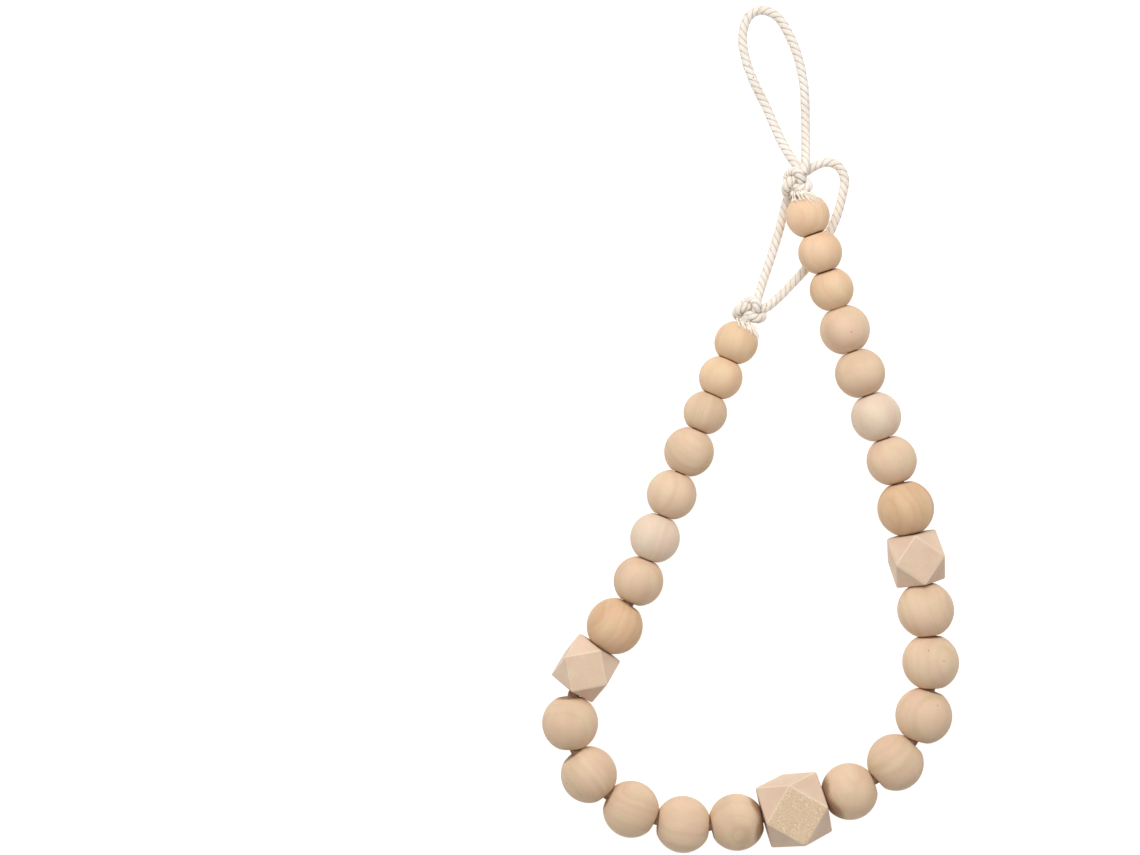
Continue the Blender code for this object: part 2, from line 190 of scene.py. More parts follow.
def make_piece(name, corners, quads, triangles=None, facts=None, smooth=True):
    """A mesh piece from corners in mm. facts are numbers or vectors of its corners by name."""
    triangles = np.zeros((0, 3), int) if triangles is None else triangles
    split = np.vstack([quads[:, [0, 1, 2]], quads[:, [0, 2, 3]], triangles])
    if enclosed_volume(corners - corners.mean(axis=0), split) < 0:
        quads, triangles = quads[:, ::-1], triangles[:, ::-1]
    mesh = bpy.data.meshes.new(name)
    mesh.vertices.add(len(corners))
    mesh.vertices.foreach_set("co", (corners * MM).ravel())
    loops = np.concatenate([quads.ravel(), triangles.ravel()])
    starts = np.concatenate([np.arange(len(quads)) * 4,
                             len(quads) * 4 + np.arange(len(triangles)) * 3])
    mesh.loops.add(len(loops))
    mesh.loops.foreach_set("vertex_index", loops)
    mesh.polygons.add(len(starts))
    mesh.polygons.foreach_set("loop_start", starts)
    mesh.polygons.foreach_set("use_smooth", np.full(len(starts), smooth))
    for fact, values in (facts or {}).items():
        is_vector = np.ndim(values) == 2
        data = mesh.attributes.new(fact, "FLOAT_VECTOR" if is_vector else "FLOAT", "POINT").data
        filled = np.asarray(values, float) if is_vector else np.full(len(corners), values)
        data.foreach_set("vector" if is_vector else "value", filled.ravel())
    mesh.update(calc_edges=True)
    piece = bpy.data.objects.new(name, mesh)
    bpy.context.scene.collection.objects.link(piece)
    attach(piece, BODY)
    return piece


# %% [markdown]
# ## Laid cord
#
# The cord is three strands twisted to the left: the grooves between them run like the middle of a
# letter S. A full turn takes 7.1 mm. The strands could be three tubes wound round each other, but
# pulled together they fill the middle, so only their outside shows. One surface is enough then: a
# tube whose radius falls a little from a strand's crown and steeply in the groove beside it, and
# whose pattern turns as it goes along. The yarns of each strand make fine ridges along the cord.

# %% Three-strand cord
CORD_CROWN = 1.5
CORD_GROOVE = 1.1
CORD_LAY = 7.1
STRANDS = 3
YARNS_ROUND = 21
YARN_RELIEF = 0.03
CROWN_FALL = 0.28
CREASE_WIDTH = 0.15
YARN_WANDER = 0.5
THICKNESS_WANDER = 0.012
APART_ALONG = 37.0
GAP_SHADE_FADE = 1.2
POINTS_IN_SPAN = 48


def directions_along(path, closed=False):
    """At each point of a path: the way it goes, a level side, and up, square to both."""
    ways = unit(np.roll(path, -1, axis=0) - np.roll(path, 1, axis=0) if closed
                else np.gradient(path, axis=0))
    sides = unit(np.cross(UP, ways))
    return ways, sides, np.cross(ways, sides)


def slow_wander(along, seed, size, waves=(23.0, 11.0, 5.7)):
    """A smooth, aimless number along a cord: the sum of three sine waves of these lengths."""
    starts = np.random.default_rng(seed).uniform(0, math.tau, len(waves))
    return size * sum(np.sin(math.tau * along / wave + start) for wave, start in zip(waves, starts))


def laid_cord(path, sectors, seed, closed=False, crown=CORD_CROWN, groove=CORD_GROOVE,
              lay=CORD_LAY):
    """Corners and facts of a three-strand cord along a path.

    Round each point of the path the radius is crown - (crown - groove) * depth. The strand's own
    angle is the angle round the cord plus one turn for each lay, which makes it left-handed.
    depth is CROWN_FALL times the square of the distance from the crown, and for the rest a
    narrow bell in the groove. Yarn ridges are a cosine of the angle round the cord that wanders
    along it. The place is the straightened cord's, so that streaks run along it.
    """
    along = travelled(np.vstack([path, path[:1]]))[:-1] if closed else travelled(path)
    length = np.linalg.norm(np.diff(np.vstack([path, path[:1]]), axis=0), axis=1).sum()
    lay = length / (round(length / lay * STRANDS) / STRANDS) if closed else lay
    around = math.tau * np.arange(sectors)[None, :] / sectors
    turned = (around + math.tau * along[:, None] / lay) * STRANDS / math.tau
    from_crown = np.abs((turned + 0.5) % 1.0 - 0.5) * 2
    # The groove's bell is also the crease fact, which the finish turns into painted shade in the
    # grooves
    crease = np.exp(-((1 - from_crown) / CREASE_WIDTH) ** 2)
    depth = CROWN_FALL * from_crown ** 2 + (1 - CROWN_FALL) * crease
    fade = 1.0 if not closed else np.sin(math.pi * along / length)[:, None] ** 0.5
    wander = fade * slow_wander(along, seed, YARN_WANDER)[:, None]
    yarns = YARN_RELIEF * np.cos(YARNS_ROUND * around + wander) * (1 - crease)
    radius = crown - (crown - groove) * depth + yarns
    radius = radius + fade * slow_wander(along, seed + 1, THICKNESS_WANDER)[:, None]
    ways, sides, ups = directions_along(path, closed)
    corners = (path[:, None, :] + (radius * np.cos(around))[:, :, None] * sides[:, None, :]
               + (radius * np.sin(around))[:, :, None] * ups[:, None, :])
    straight = on_rings(crown, along[:, None] + APART_ALONG * seed, around)
    return corners.reshape(-1, 3), {"place": straight.reshape(-1, 3), "crease": crease.ravel()}


def close_ends(corners, facts, path, sectors):
    """A point at the middle of either end, and the triangles that close the end with it."""
    last = len(corners)
    ring = np.arange(sectors)
    following = (ring + 1) % sectors
    end_ring = last - sectors
    triangles = np.vstack([
        np.stack([following, ring, np.full(sectors, last)], axis=1),
        np.stack([end_ring + ring, end_ring + following, np.full(sectors, last + 1)], axis=1)])
    corners = np.vstack([corners, path[0], path[-1]])
    facts = {"place": np.vstack([facts["place"], facts["place"][0], facts["place"][-1]]),
             "crease": np.append(facts["crease"], [1.0, 1.0])}
    return corners, facts, triangles


def cord_piece(name, route, step, sectors, seed, unshaded_ends=None, **strands):
    """A piece of laid cord with closed ends, and the evenly spaced path that it follows. strands
    may give another crown and groove. Where the length of unshaded ends is given, in mm, the cord
    gets a dark brown painted shade all the way but for so much at either end."""
    path = even_line(smooth_line(route, POINTS_IN_SPAN), step)
    corners, facts = laid_cord(path, sectors, seed, **strands)
    quads = grid_quads(len(path), sectors)
    corners, facts, triangles = close_ends(corners, facts, path, sectors)
    # Painted shade: all but the ends of the threaded cord are painted dark brown, as shaded in the
    # gaps
    if unshaded_ends is not None:
        along = travelled(path)
        from_end = np.minimum(along, along[-1] - along)
        dust = np.clip((from_end - unshaded_ends) / GAP_SHADE_FADE, 0, 1)
        facts["dust"] = np.append(np.repeat(dust, sectors), [0.0, 0.0])
    return make_piece(name, corners, quads, triangles, facts), path


# %% [markdown]
# ## The two hanging loops
#
# Both lie flat, in open loops, as they fell. The long arm's loop is about 55 mm long and lies free.
# The short arm's loop passes under the long arm's knot and its second bead. They are free cords:
# each leaves its knot and goes back into it, so its far end is the object itself.

# %% Hanging loops
LOOP_STEP = 0.22
LOOP_SECTORS = 96

cord_paths = {}
for loop_name, loop_route, loop_seed in (("long_loop", LONG_LOOP_ROUTE, 3),
                                         ("short_loop", SHORT_LOOP_ROUTE, 5)):
    loop, loop_path = cord_piece("laid_" + loop_name, loop_route, LOOP_STEP, LOOP_SECTORS,
                                 loop_seed)
    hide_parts(loop_name)
    cord_paths[loop_name] = (loop, loop_path)
    print(loop.name, len(loop.data.polygons), "faces,", f"{travelled(loop_path)[-1]:.1f} mm")

# %% [markdown]
# ## Where every bead sits
#
# The beads are threaded one against the next along a smooth route. Between two beads there is a
# joint, where the string can bend. A bend opens the gap, because the beads' faces touch at one
# side first. The same sums as in the CAD source give the same places.

# %% Thread the string
ROUND_SIZES = {"small": (14.0, 12.0), "middle": (16.0, 14.5), "big": (18.0, 16.2)}
FACETED_SIZES = {"faceted_small": 16.0, "faceted_large": 20.0}
STRING = [
    ("small", "honey honey honey"),
    ("middle", "beige beige pale beige"),
    ("big", "tan"),
    ("faceted_small", "raw"),
    ("big", "beige beige beige beige beige"),
    ("faceted_large", "raw"),
    ("big", "beige beige beige beige beige"),
    ("faceted_small", "raw"),
    ("big", "tan"),
    ("middle", "beige pale beige beige"),
    ("small", "beige honey honey"),
]
BEAD_ROUTE = [
    (2.5, 195.5), (6.3, 184.4), (13.9, 161.4), (23.7, 133.3), (33.8, 105.2), (41.0, 72.5),
    (43.6, 55.9), (44.4, 38.7), (39.4, 21.4), (26.6, 8.7), (10.2, 2.5), (-9.8, -2.9),
    (-26.5, -6.0), (-43.8, -4.4), (-60.6, 4.2), (-71.0, 17.6), (-72.6, 34.9), (-63.0, 50.0),
    (-53.0, 64.3), (-42.2, 92.3), (-31.1, 119.8), (-21.2, 142.4), (-14.0, 158.8),
]
RAISED_HEIGHTS = [10.1, 10.6, 9.0]
BEAD_GAP = 0.3
ROUND_BEND_REACH = 3.1
FACETED_BEND_REACH = 4.2
GAP_ROUNDS = 4


def joints_on(line, chords):
    """Points on a line, each the given straight distance from the one before."""
    found = [line[0]]
    index = 0
    for chord in chords:
        while np.linalg.norm(line[index + 1] - found[-1]) < chord:
            index += 1
        near = np.linalg.norm(line[index] - found[-1])
        far = np.linalg.norm(line[index + 1] - found[-1])
        found.append(line[index] + (line[index + 1] - line[index]) * (chord - near) / (far - near))
    return np.array(found)


def thread_string():
    """Every bead's kind, tone, size, centre, axis and the joints on either side of it. A gap
    depends on the bend and the bend on the gaps, so both are worked out a few times over."""
    kinds = [(kind, tone) for kind, tones in STRING for tone in tones.split()]
    sizes = [ROUND_SIZES[kind] if kind in ROUND_SIZES else (FACETED_SIZES[kind],) * 2
             for kind, tone in kinds]
    lengths = np.array([length for across, length in sizes])
    heights = np.array([across / 2 for across, length in sizes])
    resting = heights.copy()
    heights[:len(RAISED_HEIGHTS)] = RAISED_HEIGHTS
    reaches = np.array([ROUND_BEND_REACH if kind in ROUND_SIZES else FACETED_BEND_REACH
                        for kind, tone in kinds])
    line = smooth_line([(x, y, 0.0) for x, y in BEAD_ROUTE])
    half_gaps = np.full(len(kinds) + 1, BEAD_GAP / 2)
    for _ in range(GAP_ROUNDS):
        chords = half_gaps[:-1] + lengths + half_gaps[1:]
        joints = joints_on(line, chords)
        runs = unit(np.diff(joints, axis=0))
        turns = np.arccos(np.clip((runs[:-1] * runs[1:]).sum(axis=1), -1, 1))
        half_gaps[1:-1] = BEAD_GAP / 2 + np.maximum(reaches[:-1], reaches[1:]) * np.tan(turns / 2)
    ends = np.concatenate([heights[:1], heights, heights[-1:]])
    joints[:, 2] = (ends[:-1] + ends[1:]) / 2
    shares = ((half_gaps[:-1] + lengths / 2) / chords)[:, None]
    runs = np.diff(joints, axis=0)
    centres = joints[:-1] + runs * shares
    centres[:, 2] = heights
    runs[:, 2] = np.where(heights == resting, 0.0, runs[:, 2])
    axes = unit(runs)
    middle = [kind for kind, tone in kinds].index("faceted_large")
    shift = np.array([*centres[middle, :2], 0.0])
    return [{"kind": kind, "tone": tone, "across": size[0], "length": size[1],
             "centre": centres[k] - shift, "axis": axes[k],
             "joints": (joints[k] - shift, joints[k + 1] - shift)}
            for k, ((kind, tone), size) in enumerate(zip(kinds, sizes))]


beads = thread_string()
counts = {"round_bead": 0, "faceted_bead": 0}
for bead in beads:
    stem = "round_bead" if bead["kind"] in ROUND_SIZES else "faceted_bead"
    counts[stem] += 1
    bead["node"] = f"{stem}_{counts[stem]:02d}"
offs = [np.abs(np.mean(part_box(bead["node"]), axis=0) / MM - bead["centre"]).max() for bead in beads]
print(len(beads), "beads; the farthest is", round(float(max(offs)), 2), "mm from its node's middle")

# %% [markdown]
# ## Beads
#
# A turned bead is a ball with two flat ends, and a faceted one is a cube cut back to the middles
# of its edges, which leaves six squares and eight triangles. Both are solids that are held in by a
# few limits. In each direction they reach as far as the nearest limit lets them. If a soft least of
# all the limits takes its place, every edge comes out rounded, as tumbling and sanding leave it. A
# bevel would do that too, but this also tells how near an edge each corner is, for the finish.
#
# The grid runs from one rim of the hole over the outside to the other rim, and back through the
# hole, so that it closes on itself. The CAD's solids keep 0.3 mm apart. Real beads are pushed
# together on their string, so here their ends reach 0.12 mm further and all but touch.

# %% Bead surfaces
HOLE_RADIUS = 2.4
RIM_EASE = 0.4
END_REACH = 0.12
EDGE_SHARPNESS = 72.0
EDGE_FROM, EDGE_SPAN = 0.94, 0.06
RIM_RINGS = 4
BORE_RINGS = 2


def held_in(ways, planes, ball):
    """How far a solid reaches along each way, its outward direction there, and its edges.

    A plane with outward direction n at distance h lets the reach be h / (n . way), and a ball its
    radius. The soft least of these is the sum of their inverses to the power p, to the power
    -1 / p. The outward direction is the planes' directions, each weighted with its share in the
    sum. An edge is where the second largest inverse comes near the largest.
    """
    normals = np.array([normal for normal, distance in planes])
    distances = np.array([distance for normal, distance in planes])
    inverses = np.maximum(ways @ normals.T, 1e-6) / distances
    if ball:
        inverses = np.concatenate([inverses, np.full((*ways.shape[:-1], 1), 1.0 / ball)], axis=-1)
    largest = inverses.max(axis=-1, keepdims=True)
    shares = (inverses / largest) ** EDGE_SHARPNESS
    reach = 1.0 / (largest[..., 0] * shares.sum(axis=-1) ** (1.0 / EDGE_SHARPNESS))
    weights = shares / inverses
    outward = np.einsum("...k,kj->...j", weights[..., :len(planes)] / distances, normals)
    if ball:
        outward = outward + weights[..., -1:] * ways / ball
    ranked = np.sort(inverses, axis=-1)
    edges = np.clip((ranked[..., -2] / ranked[..., -1] - EDGE_FROM) / EDGE_SPAN, 0, 1)
    return reach, unit(outward), edges


def bead_limits(bead):
    """The planes that hold a bead in, and its ball's radius, or none for a faceted bead."""
    half = bead["across"] / 2
    ends = [((0, 0, sign), bead["length"] / 2 + END_REACH) for sign in (1, -1)]
    if bead["kind"] in ROUND_SIZES:
        return ends, half
    squares = [(tuple(sign * axis), half) for axis in np.eye(3)[:2] for sign in (1, -1)] + ends
    corner = 1 / math.sqrt(3)
    triangles = [((x * corner, y * corner, z * corner), 2 * half * corner)
                 for x in (1, -1) for y in (1, -1) for z in (1, -1)]
    return squares + triangles, None


def bead_axes(bead):
    """The bead's own side, up and hole directions."""
    side = unit(np.cross(UP, bead["axis"]))
    return np.array([side, np.cross(bead["axis"], side), bead["axis"]])


def bead_grid(bead, columns, rows):
    """Corners of a bead about its own middle, its outward directions and its edges."""
    planes, ball = bead_limits(bead)
    half = bead["length"] / 2 + END_REACH
    first = math.atan((HOLE_RADIUS + RIM_EASE) / half)
    around = (math.tau * np.arange(columns) / columns)[None, :]
    down = np.linspace(first, math.pi - first, rows)[:, None]
    ways = on_rings(np.sin(down), np.cos(down), around)
    reach, outward, edges = held_in(ways, planes, ball)
    quarter = np.linspace(0, math.pi / 2, RIM_RINGS + 1)[:-1]
    rim_r = HOLE_RADIUS + RIM_EASE * (1 - np.cos(quarter))
    rim_z = half - RIM_EASE * (1 - np.sin(quarter))
    bore_z = np.linspace(-rim_z[0], rim_z[0], BORE_RINGS + 2)[1:-1]
    inside_r = np.concatenate([rim_r[::-1], np.full(BORE_RINGS, HOLE_RADIUS), rim_r])[:, None]
    inside_z = np.concatenate([-rim_z[::-1], bore_z, rim_z])[:, None]
    inside = on_rings(inside_r, inside_z, around)
    inward = on_rings(-np.ones_like(inside_r), 0.0, around)
    corners = np.concatenate([ways * reach[..., None], inside])
    return corners, np.concatenate([outward, inward]), np.concatenate([edges, 0 * inside[..., 0]])


# %% [markdown]
# ## How each bead was cut from its wood
#
# Most beads are turned with the hole along the grain, but some across it, so that either long
# lines show on top or the oval rings of a cut across. So each corner carries its place in the
# wood: three numbers in mm, the third along the grain, with the middle of the tree some way off.
# The rings and fibres then run right through the bead, and meet its surface as in real wood. The
# The faceted beads show sawn end grain on top. The two beads beside the large faceted bead get a
# painted shadow of it at the end that faces it.

# %% Cut the beads
GRAIN_ALONG = {"hole": (0.05, 0.1, 1.0), "level": (1.0, 0.12, 0.15), "up": (0.12, 1.0, 0.1)}
GRAIN_OF = {"round_bead_05": "level", "round_bead_23": "level", "round_bead_13": "up",
            "round_bead_14": "up", "faceted_bead_01": "up", "faceted_bead_02": "up",
            "faceted_bead_03": "up"}
GRAIN_WANDER = 0.07
OBLIQUE = (0.3, 0.5, -0.8)
PITH_OFF = {"round_bead_14": 0.8, "round_bead_13": 8.0}
PITH_OFF_RANGE = (16, 40)
STICK_HALF = 400
RINGS_SHOW = {"round_bead_14": 2.2}
# The two beads beside the large faceted bead, and which of their ends gets its painted shadow
SHADOWED_END = {"round_bead_13": 1, "round_bead_14": -1}
SHADOW_EDGE_WAVES = ((2, 0.13, 0.8), (5, 0.05, 2.0))
BEAD_SEED = 100
# Columns and rows of each kind's grid
BEAD_GRIDS = {"small": (52, 36), "middle": (56, 38), "big": (60, 40),
              "faceted_small": (128, 96), "faceted_large": (160, 124)}


def shadowed_end_share(bead, own):
    """How near the end that gets a painted shadow of the large faceted bead a corner lies, from 0 at
    its middle to 1 at the end. Two sine waves round the hole, each with its crests, size and start,
    make the shadow's edge uneven."""
    towards = own[:, 2] * SHADOWED_END.get(bead["node"], 0) / (bead["length"] / 2)
    around = np.arctan2(own[:, 1], own[:, 0])
    uneven = sum(size * np.sin(crests * around + start) for crests, size, start in SHADOW_EDGE_WAVES)
    return np.clip(towards + uneven * (towards > 0), 0, 1)


def in_the_wood(bead, corners, outward, rng):
    """A bead's corners in its wood, and how squarely its surface cuts across the grain, which is
    the square of the outward direction's share along it."""
    grain = np.array(GRAIN_ALONG[GRAIN_OF.get(bead["node"], "hole")])
    grain = unit(grain + rng.normal(0, GRAIN_WANDER, 3))
    across = unit(np.cross(grain, OBLIQUE))
    turned = np.array([across, np.cross(grain, across), grain])
    pith = PITH_OFF.get(bead["node"], rng.uniform(*PITH_OFF_RANGE))
    swing = rng.uniform(0, math.tau)
    off = np.array([pith * math.cos(swing), pith * math.sin(swing),
                    rng.uniform(-STICK_HALF, STICK_HALF)])
    return corners @ turned.T + off, (outward @ grain) ** 2


bead_pieces = []
for number, bead in enumerate(beads):
    rng = np.random.default_rng(BEAD_SEED + number)
    columns, rows = BEAD_GRIDS[bead["kind"]]
    corners, outward, edges = bead_grid(bead, columns, rows)
    own = corners.reshape(-1, 3)
    place, end_grain = in_the_wood(bead, own, outward.reshape(-1, 3), rng)
    facts = {"place": place, "end_grain": end_grain, "edge": edges.ravel(),
             "near_hole": np.abs(own[:, 2]) / (bead["length"] / 2), "tone": rng.uniform(-1, 1),
             "scorch": shadowed_end_share(bead, own), "rings": RINGS_SHOW.get(bead["node"], 1.0)}
    name = bead["node"].replace("round", "turned").replace("faceted_bead", "cut_facets")
    piece = make_piece(name, bead["centre"] + own @ bead_axes(bead),
                       grid_quads(len(corners), columns, close_rows=True), facts=facts)
    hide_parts(bead["node"])
    bead["tone"] + "_wood"
    bead_pieces.append((piece, bead))
print(sum(len(piece.data.polygons) for piece, bead in bead_pieces), "faces of beads")

# %% [markdown]
# ## The threaded cord
#
# It is the same laid cord, through all the holes. Only short lengths show, in the gaps where the
# string bends. It turns at the joints, where it lies a little towards the inner side of the bend.
# The holes are wider than the cord, so in them it is fuller than in the loops. It is painted dark
# brown, a painted shade with the wood's colour reflected in it, but for its ends beside the knots.

# %% Cord through the beads
CLEAR_OF_JOINT = 0.12
LEAN_INWARD = 2.2
KNOT_HEIGHTS = {"long_arm": 8.2, "short_arm": 5.4}
KNOT_FROM_BEAD = 5.3
FROM_KNOT_MIDDLE = 2.0
THREADED_STEP = 0.4
THREADED_SECTORS = 36
THREADED_SEED = 11
THREADED_CROWN = 1.9
THREADED_GROOVE = 1.5
UNSHADED_ENDS = 3.4


def knot_middle(bead, towards_bead, height):
    """Middle of a knot beside an end bead, and the level way from there to the bead."""
    to_bead = unit(np.array([towards_bead[0], towards_bead[1], 0.0]))
    middle = bead["centre"] - to_bead * (bead["length"] / 2 + KNOT_FROM_BEAD)
    middle[2] = height
    return middle, to_bead


knots = {}
for arm, bead, way in (("long_arm", beads[0], beads[0]["axis"]),
                       ("short_arm", beads[-1], -beads[-1]["axis"])):
    knots[arm] = (*knot_middle(bead, way, KNOT_HEIGHTS[arm]), bead)
cord_ends = [middle + to_bead * FROM_KNOT_MIDDLE for middle, to_bead, bead in knots.values()]
joints = np.array([beads[0]["joints"][0], *(bead["joints"][1] for bead in beads)])
runs = np.diff(joints, axis=0)
leans = np.zeros_like(joints)
leans[1:-1] = np.diff(unit(runs), axis=0) * LEAN_INWARD
near_joints = np.stack([joints[:-1] + runs * CLEAR_OF_JOINT + leans[:-1],
                        joints[1:] - runs * CLEAR_OF_JOINT + leans[1:]], axis=1).reshape(-1, 3)
threaded = np.vstack([cord_ends[0], near_joints, cord_ends[1]])
bead_cord, bead_cord_path = cord_piece("threaded_cord", threaded, THREADED_STEP, THREADED_SECTORS,
                                       THREADED_SEED, unshaded_ends=UNSHADED_ENDS,
                                       crown=THREADED_CROWN, groove=THREADED_GROOVE)
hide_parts("bead_cord")
print("threaded cord:", f"{travelled(bead_cord_path)[-1]:.0f} mm")

# %% [markdown]
# ## The knots
#
# A pulled overhand knot is a cord that passes round and through itself: a trefoil, with three
# lobes and three crossings. Its path is a formula, and the laid cord is carried along it. Where
# two turns press on each other the crease between them gets painted shade, so each corner also
# carries how near it lies to another part of the path. A tight knot winds its strands up, so their
# turns are shorter and the cord is thicker than on the loops.

# %% Overhand knots
KNOT_SPREAD = {"long_arm": (1.34, 1.28), "short_arm": (1.48, 1.1)}
KNOT_TURN_DEG = {"long_arm": -2.0, "short_arm": 17.0}
KNOT_RISE = 1.8
KNOT_CROWN = 1.62
KNOT_GROOVE = 1.02
KNOT_LAY = 5.2
KNOT_POINTS = 240
KNOT_SECTORS = 72
KNOT_SEED = 20
OWN_PART = 7
PRESSED_WITHIN, PRESSED_FADE = 2.3, 0.8
PRESSED_SHADE = 0.8


def trefoil(middle, to_bead, spread, turn_deg):
    """The knot's closed path. With t once round, its sideways place is sin t + 2 sin 2t, its
    place along the string cos t - 2 cos 2t, each times its own spread, and it rises and falls as
    sin 3t. Then it is turned a little in its own plane, as it was pulled."""
    t = math.tau * np.arange(KNOT_POINTS) / KNOT_POINTS
    side = np.cross(UP, to_bead)
    across = spread[0] * (np.sin(t) + 2 * np.sin(2 * t))
    along = spread[1] * (np.cos(t) - 2 * np.cos(2 * t))
    rise = -KNOT_RISE * np.sin(3 * t)
    turn = math.radians(turn_deg)
    across, along = (across * math.cos(turn) + along * math.sin(turn),
                     along * math.cos(turn) - across * math.sin(turn))
    return middle + across[:, None] * side + along[:, None] * to_bead + rise[:, None] * UP


def pressed(corners, path, per_ring):
    """How near each corner of a closed cord lies to a part of its path that isn't its own, from
    0 to 1. The seventh of the path on either side of a corner counts as its own."""
    count = len(path)
    own = np.repeat(np.arange(count), per_ring)
    apart = np.abs(own[:, None] - np.arange(count)[None, :])
    apart = np.minimum(apart, count - apart)
    distance = np.linalg.norm(corners[:, None, :] - path[None, :, :], axis=2)
    distance = np.where(apart < count // OWN_PART, np.inf, distance).min(axis=1)
    return np.clip((PRESSED_WITHIN - distance) / PRESSED_FADE, 0, 1)


knot_paths = {}
for knot_number, (arm, (middle, to_bead, bead)) in enumerate(knots.items()):
    path = trefoil(middle, to_bead, KNOT_SPREAD[arm], KNOT_TURN_DEG[arm])
    knot_paths[arm] = path
    corners, facts = laid_cord(path, KNOT_SECTORS, KNOT_SEED + knot_number, closed=True,
                               crown=KNOT_CROWN, groove=KNOT_GROOVE, lay=KNOT_LAY)
    # Painted shade in the creases where the knot's turns press together
    facts["crease"] = np.maximum(facts["crease"],
                                 PRESSED_SHADE * pressed(corners, path, KNOT_SECTORS))
    quads = grid_quads(len(path), KNOT_SECTORS, close_rows=True)
    knot = make_piece(f"tied_{arm}_knot", corners, quads, facts=facts)
    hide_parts(f"{arm}_knot")
    print(knot.name, len(quads), "faces")

# %% [markdown]
# ## Loose fibres
#
# The cut ends are combed out into wisps of fine cotton fibres that lie over the end beads. Each
# fibre is a thin three-sided tube along its own line. Thousands of corners come from one formula:
# all the fibres' lines are one array, and every ring of every tube is worked out at once.


# %% Many thin tubes
TUBE_LEAN = (0.21, 0.33, 0.92)
NEARLY_NOTHING = 1e-9


def many_tubes(lines, thickness):
    """Corners and faces of three-sided tubes along many lines. thickness has a radius for each
    point of a line, the same for all of them, or one row for each line."""
    fibres, points, _ = lines.shape
    ways = np.gradient(lines, axis=1)
    ways /= np.linalg.norm(ways, axis=2, keepdims=True) + NEARLY_NOTHING
    sides = np.cross(ways, TUBE_LEAN)
    sides /= np.linalg.norm(sides, axis=2, keepdims=True) + NEARLY_NOTHING
    ups = np.cross(ways, sides)
    turn = math.tau * np.arange(3) / 3
    radius = np.broadcast_to(thickness, (fibres, points))[:, :, None, None]
    rings = lines[:, :, None, :] + radius * (np.cos(turn)[:, None] * sides[:, :, None, :]
                                             + np.sin(turn)[:, None] * ups[:, :, None, :])
    own = grid_quads(points, 3)
    starts = np.arange(fibres) * points * 3
    quads = (starts[:, None, None] + own[None]).reshape(-1, 4)
    ends = np.array([[0, 2, 1], [points * 3 - 3, points * 3 - 2, points * 3 - 1]])
    triangles = (starts[:, None, None] + ends[None]).reshape(-1, 3)
    return rings.reshape(-1, 3), quads[:, ::-1], triangles[:, ::-1]


# %% [markdown]
# ## The frayed ends
#
# Each end is a row of short, thick wisps that hang from the knot over the bead, like a fringe. A
# wisp is a bundle of fibres. Fibres under them are painted dark, a painted shadow that shows in the
# gaps; single hairs stray past the far side, and a tuft stands up from the cut. No fibre may sink
# into the bead, so a fibre's height is the higher of its own drooping line and the bead's surface
# under it.

# %% Combed-out cord ends
# The row of wisps seen from above: its two ends in mm from the middle of the knot, the ways that
# its first and last wisp point, and how long they are. Then the seed of its random numbers
FRAYS = {
    "long_arm": {"row": ((-2.0, -3.6), (3.9, -3.2)), "from_deg": 273.0, "to_deg": 342.0,
                 "short": 2.8, "long": 4.8, "seed": 31},
    "short_arm": {"row": ((-4.7, -3.0), (1.3, -5.3)), "from_deg": 284.0, "to_deg": 290.0,
                  "short": 2.5, "long": 4.0, "seed": 32},
}
ROW_BOW = 0.15
FRAY_HEIGHT = 3.7
LOWER_ROOTS = 0.7
THIN_LAYER = 0.1
WISPS = 7
FIBRES_IN_WISP = 22
FIBRE_POINTS = 10
FIBRE_RADIUS = 0.085
FIBRE_TIP = 0.45
WISP_RADIUS = 0.22
WISP_ROOT = 0.2
WISP_OPENS = 0.7
UNDER_FIBRES = 100
UNDER_ROOT = 0.3
TUFT_FIBRES = 80
TUFT_BACK = 0.2
TUFT_REACH, TUFT_RISE, TUFT_FOOT = 1.1, 0.7, 0.6
CURL_OUT, CURL_DOWN = 0.6, 0.7
LONG_HAIRS = 30
LONG_HAIR_RADIUS = 0.05
WISP_DARK, UNDER_SHADOW = 0.3, 0.7
FRAY_APART = 11.0


def above_bead(bead, x, y, clearance):
    """Height of a ball a little larger than the bead, over a place seen from above."""
    reach = bead["across"] / 2 + clearance
    away = (x - bead["centre"][0]) ** 2 + (y - bead["centre"][1]) ** 2
    top = bead["centre"][2] + np.sqrt(np.maximum(reach ** 2 - away, 0))
    return np.where(away < reach ** 2, top, 0)


def over_the_bead(start, tip, height, bead, layer, rng):
    """Lines from a level start to a level tip, one for each of their rows. With part from 0 to 1,
    a line is start + (tip - start) * part, swayed sideways by a sine. Its height is the start's
    plus a low hump minus part squared, but never less than the bead's surface and its layer."""
    count = len(start)
    part = np.linspace(0, 1, FIBRE_POINTS)[None, :, None]
    run = (tip - start)[:, None, :]
    waves = rng.uniform(0.8, 2.2, (count, 1, 1))
    sway = rng.normal(0, 0.03, (count, 1, 1)) * np.sin(math.pi * part * waves)
    level = start[:, None, :] + run * part + sway * run[:, :, ::-1] * (-1.0, 1.0)
    first = height + rng.uniform(-0.6, 0.0, (count, 1))
    hump = rng.uniform(0.2, 0.5, (count, 1)) * np.sin(math.pi * part[:, :, 0])
    drooped = first + hump - part[:, :, 0] ** 2 * rng.uniform(0.6, 1.6, (count, 1))
    drooped = np.maximum(drooped, above_bead(bead, level[:, :, 0], level[:, :, 1], layer[:, None]))
    return np.concatenate([level, drooped[:, :, None]], axis=2)


